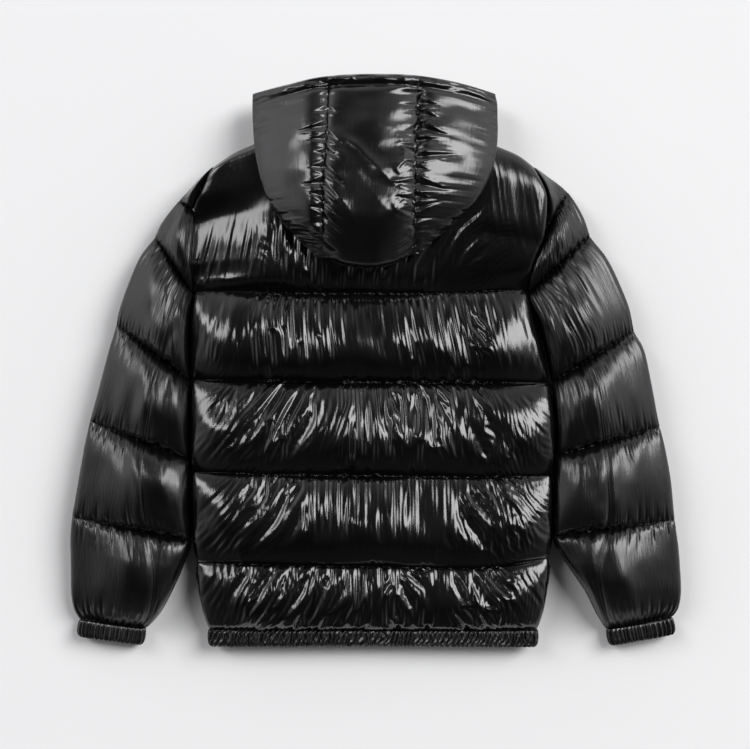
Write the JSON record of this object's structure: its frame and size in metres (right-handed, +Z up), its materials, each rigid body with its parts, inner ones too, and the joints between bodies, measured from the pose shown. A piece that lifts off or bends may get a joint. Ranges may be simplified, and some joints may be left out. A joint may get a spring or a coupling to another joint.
{
  "type": "puffer jacket",
  "caption": "Hooded padded jacket laid flat on its front with its back up, quilted in horizontal rows, with set-in sleeves, gathered cuffs and hem, and a folded-back hood.",
  "frame": {"origin": "middle of the part's box, on the surface it lies on", "axes": "+Z up from the surface, +Y towards the hood, +X towards the wearer's right side, which is on the right of the part seen from above with the hood away from the viewer"},
  "size_m": [0.858, 0.7971, 0.1468],
  "materials": {
    "shell": "high-gloss coated nylon",
    "elastic_rib": "gathered nylon over elastic, satin",
    "zip_tape": "woven tape, matte",
    "zip_metal": "black enamel, satin"
  },
  "bodies": {
    "jacket": {"back_panel": "shell", "front_left": "shell", "front_right": "shell", "collar_left": "shell", "collar_right": "shell", "sleeve_left_top": "shell", "sleeve_left_under": "shell", "sleeve_right_top": "shell", "sleeve_right_under": "shell", "hood_center": "shell", "hood_side_left": "shell", "hood_side_right": "shell", "cuff_left": "elastic_rib", "cuff_right": "elastic_rib", "hem_band": "elastic_rib", "zip_tape_left": "zip_tape", "zip_tape_right": "zip_tape", "zip_slider": "zip_metal"},
    "pull_tab": {"zip_pull": "zip_metal"}
  },
  "joints": [
    {"name": "pull_tab_swing", "type": "hinge", "parent": "jacket", "child": "pull_tab", "pos_m": [0, 0.366, 0.03], "axis": [1, 0, 0], "range_deg": [-85, 85]}
  ]
}
